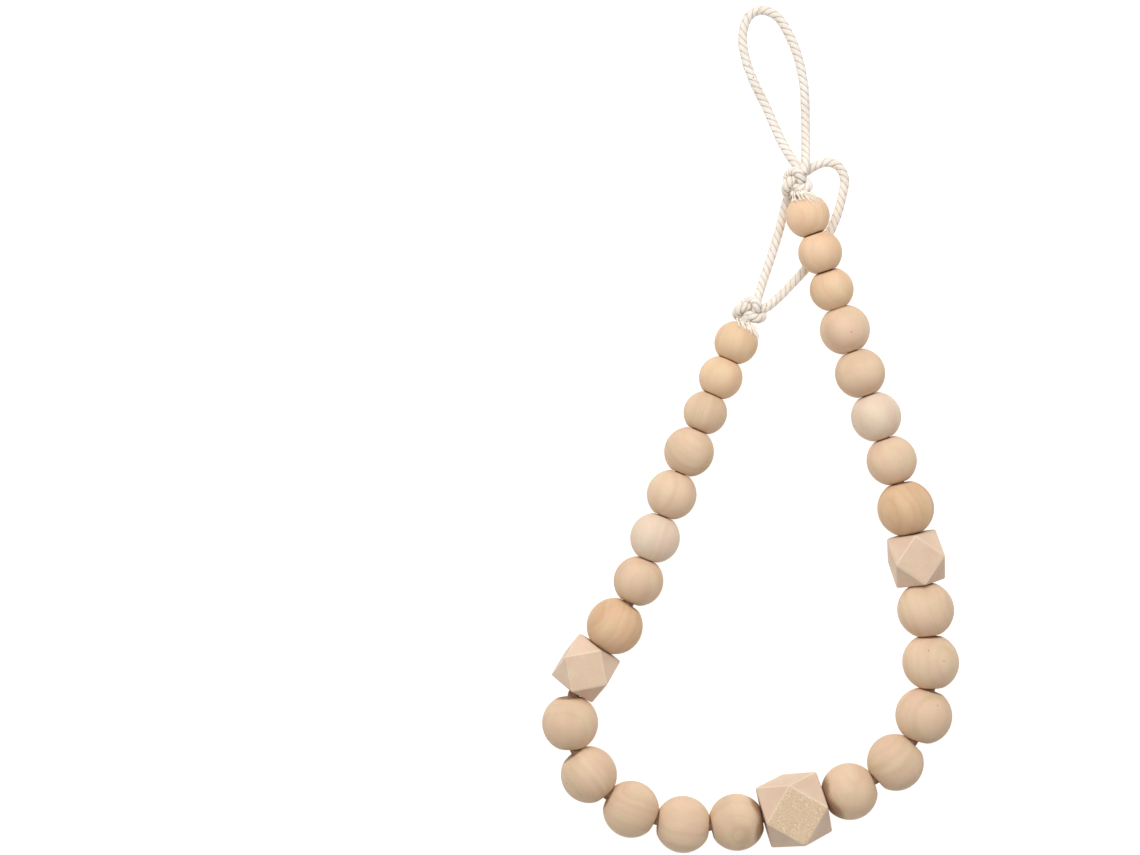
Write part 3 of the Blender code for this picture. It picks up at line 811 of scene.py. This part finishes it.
def fringe(middle, fan, share, length):
    """Level starts and tips at a share of the way along the row, which bows towards the bead as a
    parabola. The way they point turns with the share squared, from the first to the last."""
    low, high = (np.array(place) + middle[:2] for place in fan["row"])
    angle = np.radians(fan["from_deg"] + (fan["to_deg"] - fan["from_deg"]) * share ** 2)
    out = on_rings(1.0, 0.0, angle)[:, :2]
    bow = [[0.0, ROW_BOW]] * (4 * share * (1 - share))[:, None]
    start = low + (high - low) * share[:, None] - bow
    return start, start + out * length[:, None]


def row_length(fan, share):
    """Length at a share of the way along the row: from short to long with the share cubed."""
    return fan["short"] + (fan["long"] - fan["short"]) * share ** 3


def wisp_lines(middle, fan, bead, rng):
    """Lines of the wisps' fibres. A wisp's fibres keep within a small radius of each other, open a
    little at the tip, and differ in length."""
    share = (np.arange(WISPS) + rng.uniform(0.3, 0.7, WISPS)) / WISPS
    length = row_length(fan, share) * rng.uniform(0.85, 1.15, WISPS)
    start, tip = fringe(middle, fan, share, length)
    tip = tip + rng.normal(0, 0.18, (WISPS, 2))
    level = rng.uniform(0.3, 0.6, WISPS)
    start, tip, level = (np.repeat(each, FIBRES_IN_WISP, axis=0) for each in (start, tip, level))
    count = len(start)
    swing = rng.uniform(0, math.tau, count)
    spread = WISP_RADIUS * np.sqrt(rng.uniform(0, 1, count))
    off = on_rings(spread, 0.0, swing)[:, :2]
    start = start + off - (tip - start) * WISP_ROOT
    tip = start + (tip + off * WISP_OPENS - start) * rng.uniform(0.8, 1.03, (count, 1))
    layer = np.maximum(level + np.sin(swing) * spread, THIN_LAYER)
    return over_the_bead(start, tip, middle[2] + FRAY_HEIGHT, bead, layer, rng)


def under_lines(middle, fan, bead, rng):
    """Lines of the fibres that lie under the wisps, evenly along the row."""
    share = rng.uniform(0, 1, UNDER_FIBRES)
    length = row_length(fan, share) * rng.uniform(0.35, 0.65, UNDER_FIBRES)
    start, tip = fringe(middle, fan, share, length)
    start = start - (tip - start) * UNDER_ROOT
    layer = np.full(UNDER_FIBRES, THIN_LAYER)
    return over_the_bead(start, tip, middle[2] + FRAY_HEIGHT - LOWER_ROOTS, bead, layer, rng)


def long_hair_lines(middle, fan, bead, rng):
    """Single hairs that strayed past the far side of the row."""
    share = rng.uniform(0.6, 1.1, LONG_HAIRS)
    start, tip = fringe(middle, fan, share, fan["long"] * rng.uniform(0.7, 1.4, LONG_HAIRS))
    tip = tip + rng.normal(0, 0.5, (LONG_HAIRS, 2))
    layer = rng.uniform(THIN_LAYER, 0.9, LONG_HAIRS)
    return over_the_bead(start, tip, middle[2] + FRAY_HEIGHT, bead, layer, rng)


def tuft_lines(middle, fan, rng):
    """Short fibres that stand up from the cut: each leans out from a place near the row by its own
    share of the tuft's reach, and curls over with its part squared."""
    swing = rng.uniform(0, math.tau, TUFT_FIBRES)
    out = on_rings(1.0, 0.0, swing)
    lean = rng.uniform(0.1, 1.0, (TUFT_FIBRES, 1))
    size = rng.uniform(0.5, 1.3, (TUFT_FIBRES, 1))
    low, high = (np.array([*place, FRAY_HEIGHT - LOWER_ROOTS]) + middle for place in fan["row"])
    place = low + (high - low) * rng.uniform(0.1, 0.8, (TUFT_FIBRES, 1)) + (0.0, TUFT_BACK, 0.0)
    start = place + out * lean * TUFT_REACH * TUFT_FOOT
    rise = (out * lean * TUFT_REACH + (0.0, 0.0, TUFT_RISE)) * size
    curl = (out * CURL_OUT - (0.0, 0.0, CURL_DOWN)) * lean * size
    part = np.linspace(0, 1, FIBRE_POINTS)[None, :, None]
    return start[:, None, :] + rise[:, None, :] * part + curl[:, None, :] * part ** 2


frays = {}
for arm, (middle, to_bead, bead) in knots.items():
    fan = FRAYS[arm]
    rng = np.random.default_rng(fan["seed"])
    groups = [wisp_lines(middle, fan, bead, rng), tuft_lines(middle, fan, rng),
              under_lines(middle, fan, bead, rng), long_hair_lines(middle, fan, bead, rng)]
    lines = np.concatenate(groups)
    thickness = np.full((len(lines), 1), FIBRE_RADIUS)
    thickness[-LONG_HAIRS:] = LONG_HAIR_RADIUS
    # Each wisp fibre gets a random tone; the fibres under the wisps get a painted shadow, through the
    # crease fact
    dark = rng.uniform(0.0, WISP_DARK, len(lines))
    dark[-LONG_HAIRS - UNDER_FIBRES:-LONG_HAIRS] = UNDER_SHADOW
    taper = np.linspace(1.0, FIBRE_TIP, FIBRE_POINTS)
    corners, quads, triangles = many_tubes(lines, thickness * taper)
    facts = {"place": corners + FRAY_APART, "crease": np.repeat(dark, FIBRE_POINTS * 3)}
    fray = make_piece(f"combed_{arm}_end", corners, quads, triangles, facts, smooth=False)
    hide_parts(f"{arm}_frayed_end")
    frays[arm] = fray
    print(fray.name, len(lines), "fibres")

# %% [markdown]
# ## Fuzz
#
# Cotton cord is never quite smooth: short fibres stand off it, and soften its outline. They start
# on the cord's surface and bend over. A hair has only a few flat faces, so it isn't shaded smooth:
# the light would be reckoned as if it fell on a much rounder thing, and the hair would go grey.

# %% Fuzz on the loops and knots
HAIRS_PER_MM = 3.0
HAIR_POINTS = 5
HAIR_RADII = 0.022 * np.linspace(1.0, 0.4, HAIR_POINTS)
HAIR_ROOT_DEPTH = 0.25
LOWEST_HAIR = 0.05
FUZZ_SEEDS = {"long_loop": 41, "short_loop": 42, "long_arm_knot": 51, "short_arm_knot": 52}


def fuzz_lines(path, crown, rng):
    """Lines of short hairs. Each starts at a random place round the path, goes outwards and
    along, and bends: outwards with its part, and sideways with its part squared."""
    count = round(travelled(path)[-1] * HAIRS_PER_MM)
    at = rng.integers(1, len(path) - 1, count)
    ways, sides, ups = directions_along(path)
    swing = rng.uniform(0, math.tau, count)[:, None]
    out = np.cos(swing) * sides[at] + np.sin(swing) * ups[at]
    round_it = np.cos(swing) * ups[at] - np.sin(swing) * sides[at]
    lean = out * rng.uniform(0.25, 0.8, (count, 1)) + ways[at] * rng.normal(0, 0.8, (count, 1))
    bend = round_it * rng.normal(0, 0.7, (count, 1)) + ways[at] * rng.normal(0, 0.5, (count, 1))
    size = rng.uniform(0.35, 1.2, (count, 1))
    part = np.linspace(0, 1, HAIR_POINTS)[None, :, None]
    start = path[at] + out * (crown - HAIR_ROOT_DEPTH)
    lines = (start[:, None, :] + (lean * size)[:, None, :] * part
             + (bend * size)[:, None, :] * part ** 2)
    lines[:, :, 2] = np.maximum(lines[:, :, 2], LOWEST_HAIR)
    return lines


hairy = [(loop_name, path, CORD_CROWN) for loop_name, (loop, path) in cord_paths.items()]
hairy += [(arm + "_knot", path, KNOT_CROWN) for arm, path in knot_paths.items()]
for name, path, crown in hairy:
    lines = fuzz_lines(path, crown, np.random.default_rng(FUZZ_SEEDS[name]))
    corners, quads, triangles = many_tubes(lines, HAIR_RADII)
    make_piece(name + "_fuzz", corners, quads, triangles,
                            {"place": corners, "crease": 0.0}, smooth=False)

# %% [markdown]
# ## The loops' first points
#
# For each loop, the first point of its path is worked out in metres. Cotton cord this thin is
# limp. Its path is the line that its surface was carried along.

for loop_name, (loop, path) in cord_paths.items():
    tuple(path[0] * MM)

# %% [markdown]
# ## Finishes
#
# A finish is a net of nodes. Written as Python it reads like the sum that it is: a small class
# stands for one output of a node, and adding or multiplying two of them adds the Math node that
# does it. Every other node comes from one method, which takes the node's type, its settings and
# what goes into its sockets.


# %% Shader sums
class Shade:
    """One output of a material's nodes, which can be reckoned with."""

    def __init__(self, finish, socket):
        self.finish = finish
        self.socket = socket

    def reckon(self, operation, first, second):
        """The Math node for an operation on two values."""
        return self.finish.put("ShaderNodeMath", {"operation": operation}, {0: first, 1: second})

    def __add__(self, other):
        return self.reckon("ADD", self, other)

    def __sub__(self, other):
        return self.reckon("SUBTRACT", self, other)

    def __rsub__(self, other):
        return self.reckon("SUBTRACT", other, self)

    def __mul__(self, other):
        return self.reckon("MULTIPLY", self, other)

    # A sum or a product is the same either way round
    __radd__ = __add__
    __rmul__ = __mul__


class Finish:
    """A procedural material on the Principled shader, made node by node."""

    def __init__(self, name):
        self.material = bpy.data.materials.new(name)
        self.material.use_nodes = True
        self.nodes = self.material.node_tree.nodes
        self.shader = self.nodes["Principled BSDF"]

    def put(self, kind, settings=None, values=None, out=0):
        """Add a node: its settings first, then the values or links of its sockets."""
        node = self.nodes.new(kind)
        for setting, value in (settings or {}).items():
            setattr(node, setting, value)
        for name, value in (values or {}).items():
            self.feed(node.inputs[name], value)
        return Shade(self, node.outputs[out])

    def feed(self, socket, value):
        """Link an output to a socket, or set the socket's own value."""
        if isinstance(value, Shade):
            self.material.node_tree.links.new(value.socket, socket)
        else:
            socket.default_value = value

    def fact(self, name, is_vector=False):
        """An attribute of the piece's own corners, or 0 where the piece has none of that name."""
        return self.put("ShaderNodeAttribute", {"attribute_name": name}, out=1 if is_vector else 2)

    def stretch(self, vector, lumps):
        """A vector times the number of lumps in a unit along each axis."""
        return self.put("ShaderNodeVectorMath", {"operation": "MULTIPLY"}, {0: vector, 1: lumps})

    def noise(self, vector, lumps, detail=2.0, rough=0.5):
        """Soft noise from 0 to 1."""
        return self.put("ShaderNodeTexNoise", None, {"Vector": self.stretch(vector, lumps),
                                                     "Scale": 1.0, "Detail": detail,
                                                     "Roughness": rough})

    def specks(self, vector, lumps, inner, outer):
        """1 in small specks, one to a lump, as far as inner from their middles, 0 past outer."""
        away = self.put("ShaderNodeTexVoronoi", {"feature": "F1"},
                        {"Vector": self.stretch(vector, lumps), "Scale": 1.0})
        return 1.0 - self.between(away, inner, outer)

    def between(self, value, low, high):
        """0 below low, 1 above high, and smooth between."""
        return self.put("ShaderNodeMapRange", {"interpolation_type": "SMOOTHSTEP"},
                        {"Value": value, "From Min": low, "From Max": high})

    def mix(self, factor, first, second, blend="MIX"):
        """Two colours mixed, or the first multiplied by the second."""
        return self.put("ShaderNodeMix", {"data_type": "RGBA", "blend_type": blend},
                        {0: factor, 6: first, 7: second}, out=2)

    def surface(self, base, roughness, height, relief, **constants):
        """Feed the shader. relief is the height's size in metres."""
        bump = self.put("ShaderNodeBump", None,
                        {"Strength": 1.0, "Distance": relief, "Height": height})
        self.feed(self.shader.inputs["Base Color"], base)
        self.feed(self.shader.inputs["Roughness"], roughness)
        self.feed(self.shader.inputs["Normal"], bump)
        for name, value in constants.items():
            self.shader.inputs[name.replace("_", " ")].default_value = value
        return self.material


def colour(red, green, blue):
    """A colour with full alpha."""
    return (red, green, blue, 1.0)


# %% [markdown]
# ## Cotton
#
# Undyed cotton is a warm cream, nearly white on the strands. The grooves, and the creases where a
# knot's turns press together, are painted grey-brown as painted shade. Fine streaks follow the
# yarns, which lie along the straightened cord, and here and there is a dark speck of cotton seed.
# It has no gloss at all, only a faint sheen from its fibres. In the gaps between the beads the cord
# is painted dark brown, a painted shade with the wood's colour reflected in it.

# %% Cotton finish
YARN_STREAK, WARM_PATCH = colour(0.58, 0.50, 0.41), colour(0.90, 0.79, 0.65)
SEED_BROWN = colour(0.13, 0.08, 0.045)
# Colours of the painted shade in the bead gaps: on the strands, and in the grooves
GAP_SHADE_BROWN, GAP_SHADE_IN_CREASE = colour(0.40, 0.235, 0.14), colour(0.16, 0.08, 0.045)
COTTON_RELIEF = 0.12


def cotton_finish(name, crown, groove, age):
    """Streaks are noise that is stretched along the cord, the crease fact paints shade into the
    grooves and creases, and the fact for the bead gaps paints the cord dark brown, a painted shade.
    age is how much the streaks and warm patches show."""
    finish = Finish(name)
    place = finish.fact("place", is_vector=True)
    crease = finish.fact("crease")
    streaks = finish.noise(place, (3.4, 3.4, 0.45), 3.0, 0.6)
    patches = finish.noise(place, (0.35, 0.35, 0.12))
    fluff = finish.noise(place, (9.0, 9.0, 4.0))
    seeds = finish.specks(place, (0.42, 0.42, 0.24), 0.05, 0.1)
    # Painted shade: the crease fact mixes in the groove colour
    shaded = finish.mix(crease * (0.55 + 0.6 * streaks), crown, groove)
    streaked = finish.mix(finish.between(streaks, 0.42, 0.75) * (0.3 * age), shaded, YARN_STREAK)
    warm = finish.mix(finish.between(patches, 0.35, 0.7) * (0.45 * age), streaked, WARM_PATCH,
                      "MULTIPLY")
    flecked = finish.mix(seeds * 0.8, warm, SEED_BROWN)
    # Painted shade in the bead gaps: the cord turns dark brown, and darker still in its grooves
    brown = finish.mix(crease, GAP_SHADE_BROWN, GAP_SHADE_IN_CREASE)
    gap_shaded = finish.mix(finish.fact("dust"), flecked, brown)
    height = streaks * 0.6 + fluff * 0.4
    return finish.surface(gap_shaded, 0.9 + 0.08 * fluff, height, COTTON_RELIEF * MM,
                          Sheen_Weight=0.15, Specular_IOR_Level=0.2)


cotton = cotton_finish("cotton cord", colour(0.86, 0.81, 0.75), colour(0.53, 0.455, 0.385), 1.0)
# On the combed ends the dark colour is the painted shadow of the fibres under the wisps, and the
# wisps' random tone
combed_cotton = cotton_finish("combed cotton", colour(1.0, 0.935, 0.84), colour(0.46, 0.37, 0.28),
                              0.3)
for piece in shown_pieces():
    if piece.name.startswith(("laid_", "tied_", "threaded_")) or piece.name.endswith("_fuzz"):
        piece.data.materials.append(cotton)
for piece in frays.values():
    piece.data.materials.append(combed_cotton)

# %% [markdown]
# ## Wood
#
# The beads are bare, finely sanded wood with a satin face. Its colour is nearly even. Look closely,
# and there are faint bands of the year rings, finer streaks of the fibres, short dark pore lines,
# a few specks, and a slightly different tone on each bead. Where the surface cuts across the
# grain it is duller and speckled. The place in the wood carries all of these, so that they agree
# with each other from every side. The edges are painted lighter, a painted highlight; the ends of
# each bead, where it meets the next, get painted shade, and two beads a painted shadow of the
# large faceted bead beside them.

# %% Wood finish
GREENISH, ROSY = colour(0.985, 1.0, 0.97), colour(1.0, 0.955, 0.965)
WOOD_RELIEF = 0.04
# Each wood's light and dark colours, how strong its rings are, its speckle and its painted edge
# highlight
WOODS = {
    "honey": ((0.83, 0.605, 0.405), (0.66, 0.455, 0.28), 0.18),
    "beige": ((0.775, 0.58, 0.41), (0.60, 0.43, 0.285), 0.2),
    "pale": ((0.82, 0.665, 0.525), (0.68, 0.53, 0.40), 0.2),
    "tan": ((0.76, 0.53, 0.335), (0.56, 0.36, 0.205), 0.27),
    "raw": ((0.76, 0.585, 0.45), (0.63, 0.465, 0.34), 0.08, 0.4, 0.6),
    "rough": ((0.76, 0.585, 0.45), (0.63, 0.465, 0.34), 0.08, 1.3, 0.6),
}


def wood_finish(name, light, dark, ring_strength, speckle=0.0, edge_light=0.0):
    """Year rings are noise along the distance from the middle of the tree, a little wobbled, so
    their widths differ; streaks and pores are noise stretched along the grain; speckle is fine
    noise where the grain ends. Facts of the bead say how much its rings show, where it gets a
    painted shadow of the large faceted bead, where its ends and edges are, and its own tone. Its
    ends get painted shade and its edges a painted highlight. What lies on the plain wood is a
    stack of layers, each mixed over the ones before it by its share."""
    finish = Finish(name)
    place = finish.fact("place", is_vector=True)
    end_grain = finish.fact("end_grain")
    wobble = finish.noise(place, (0.11, 0.11, 0.04))
    radius = finish.put("ShaderNodeVectorMath", {"operation": "LENGTH"},
                        {0: finish.stretch(place, (1.0, 1.0, 0.0))}, out=1)
    bands = finish.put("ShaderNodeTexNoise", {"noise_dimensions": "1D"},
                       {"W": radius * 0.34 + wobble * 1.6, "Scale": 1.0, "Detail": 2.5})
    streaks = finish.noise(place, (2.6, 2.6, 0.16), 4.0, 0.62)
    patches = finish.noise(place, (0.16, 0.16, 0.06), 1.0)
    pores = finish.between(finish.noise(place, (6.5, 6.5, 0.55), 1.0), 0.66, 0.74)
    grit = finish.noise(place, (2.5, 2.5, 1.6), 3.0, 0.75)
    tint = finish.noise(place, (0.23, 0.23, 0.11), 1.0)
    specks = finish.specks(place, (0.16, 0.16, 0.12), 0.02, 0.045)
    rings = finish.between(bands, 0.4, 0.72) * (ring_strength * finish.fact("rings"))
    share = (0.2 + rings + 0.3 * (streaks - 0.5) + 0.9 * (patches - 0.5)
             + 0.12 * finish.fact("tone"))
    wood = finish.mix(finish.between(share, -0.25, 0.95), light, dark)
    base = finish.mix(1.0, wood, finish.mix(finish.between(tint, 0.36, 0.64), GREENISH, ROSY),
                      "MULTIPLY")
    cut_across = finish.between(end_grain, 0.6, 0.95) * speckle
    light_grit = finish.between(grit, 0.5, 0.66) * cut_across
    dark_grit = (1.0 - finish.between(grit, 0.34, 0.46)) * cut_across
    # Painted shadow of the large faceted bead on the ends of its two neighbours
    shadow_of_big_bead = finish.between(finish.fact("scorch") + 0.25 * (streaks - 0.5), 0.56, 0.8)
    # Painted shade at the ends of every bead, where it meets the next
    end_shade = finish.between(finish.fact("near_hole"), 0.965, 1.01)
    # Painted highlight along the faceted beads' edges
    edge_highlight = finish.between(finish.fact("edge"), 0.4, 1.0) * edge_light
    layers = ((pores * 0.16 * (1.0 - end_grain), colour(0.36, 0.22, 0.12)),
              (cut_across * 0.8, colour(0.735, 0.54, 0.355)),
              (light_grit * 0.75, colour(0.90, 0.76, 0.58)),
              (dark_grit * 0.6, colour(0.50, 0.34, 0.20)),
              (shadow_of_big_bead * 0.72, colour(0.30, 0.15, 0.07)),
              (end_shade * 0.6, colour(0.26, 0.13, 0.065)),
              (edge_highlight, colour(0.92, 0.76, 0.59)),
              (specks * 0.7, colour(0.16, 0.09, 0.05)))
    for layer_share, layer_colour in layers:
        base = finish.mix(layer_share, base, layer_colour)
    roughness = 0.5 + 0.12 * streaks + 0.2 * end_grain
    height = 0.4 * streaks - 0.6 * pores + grit * cut_across * 3.0
    return finish.surface(base, roughness, height, WOOD_RELIEF * MM, Specular_IOR_Level=0.2)


woods = {name: wood_finish(name + " wood", colour(*light), colour(*dark), *strengths)
         for name, (light, dark, *strengths) in WOODS.items()}
for piece, bead in bead_pieces:
    piece.data.materials.append(woods["rough" if bead["kind"] == "faceted_large" else bead["tone"]])
print(len(woods), "woods on", len(bead_pieces), "beads")

# %% [markdown]
# ## Floor and light
#
# The photograph's ground is white, with next to no shadow, and its light is soft, from a wide
# source that is a little towards the loops. So the floor is pale grey and faintly lit from within,
# like a light table, and wide enough to fill a low view too. One wide lamp stands on that side,
# and an even white light from all round fills the shadows.

# %% Floor, lamp and surroundings
FLOOR_HALF = 6.0
FLOOR_LIGHTER, FLOOR_DARKER = colour(0.30, 0.30, 0.297), colour(0.28, 0.28, 0.277)
FLOOR_GLOW = 3.1
FLOOR_RELIEF = 0.01
LAMP_PLACE = Vector((-0.10, 0.50, 0.70))
LAMP_AIM = Vector((-0.03, 0.12, 0.0))
LAMP_SIZE = 0.7
LAMP_POWER = 6.6
ROUND_LIGHT = colour(1.0, 0.99, 0.98)
ROUND_LIGHT_STRENGTH = 0.36

floor_mesh = bpy.data.meshes.new("floor")
floor_mesh.from_pydata([(-FLOOR_HALF, -FLOOR_HALF, 0), (FLOOR_HALF, -FLOOR_HALF, 0),
                        (FLOOR_HALF, FLOOR_HALF, 0), (-FLOOR_HALF, FLOOR_HALF, 0)],
                       [], [(0, 1, 2, 3)])
floor = bpy.data.objects.new("floor", floor_mesh)
bpy.context.scene.collection.objects.link(floor)
floor_finish = Finish("pale floor")
floor_noise = floor_finish.noise(floor_finish.put("ShaderNodeTexCoord", out=3), (1.0, 1.0, 1.0))
floor_grey = floor_finish.mix(floor_noise, FLOOR_LIGHTER, FLOOR_DARKER)
floor_finish.feed(floor_finish.shader.inputs["Emission Color"], floor_grey)
floor_mesh.materials.append(floor_finish.surface(floor_grey, 0.8, floor_noise, FLOOR_RELIEF * MM,
                                                 Specular_IOR_Level=0.1,
                                                 Emission_Strength=FLOOR_GLOW))

lamp_data = bpy.data.lights.new("wide lamp", "AREA")
lamp_data.shape = "SQUARE"
lamp_data.size = LAMP_SIZE
lamp_data.energy = LAMP_POWER
lamp = bpy.data.objects.new("wide lamp", lamp_data)
lamp.location = LAMP_PLACE
lamp.rotation_mode = "QUATERNION"
lamp.rotation_quaternion = (LAMP_AIM - LAMP_PLACE).to_track_quat("-Z", "Y")
bpy.context.scene.collection.objects.link(lamp)

world = bpy.data.worlds.new("white surroundings")
world.use_nodes = True
background = world.node_tree.nodes["Background"].inputs
background["Color"].default_value = ROUND_LIGHT
background["Strength"].default_value = ROUND_LIGHT_STRENGTH
bpy.context.scene.world = world
bpy.context.scene.view_settings.view_transform = "Standard"
print("floor", 2 * FLOOR_HALF, "m wide, lamp", LAMP_POWER, "W")
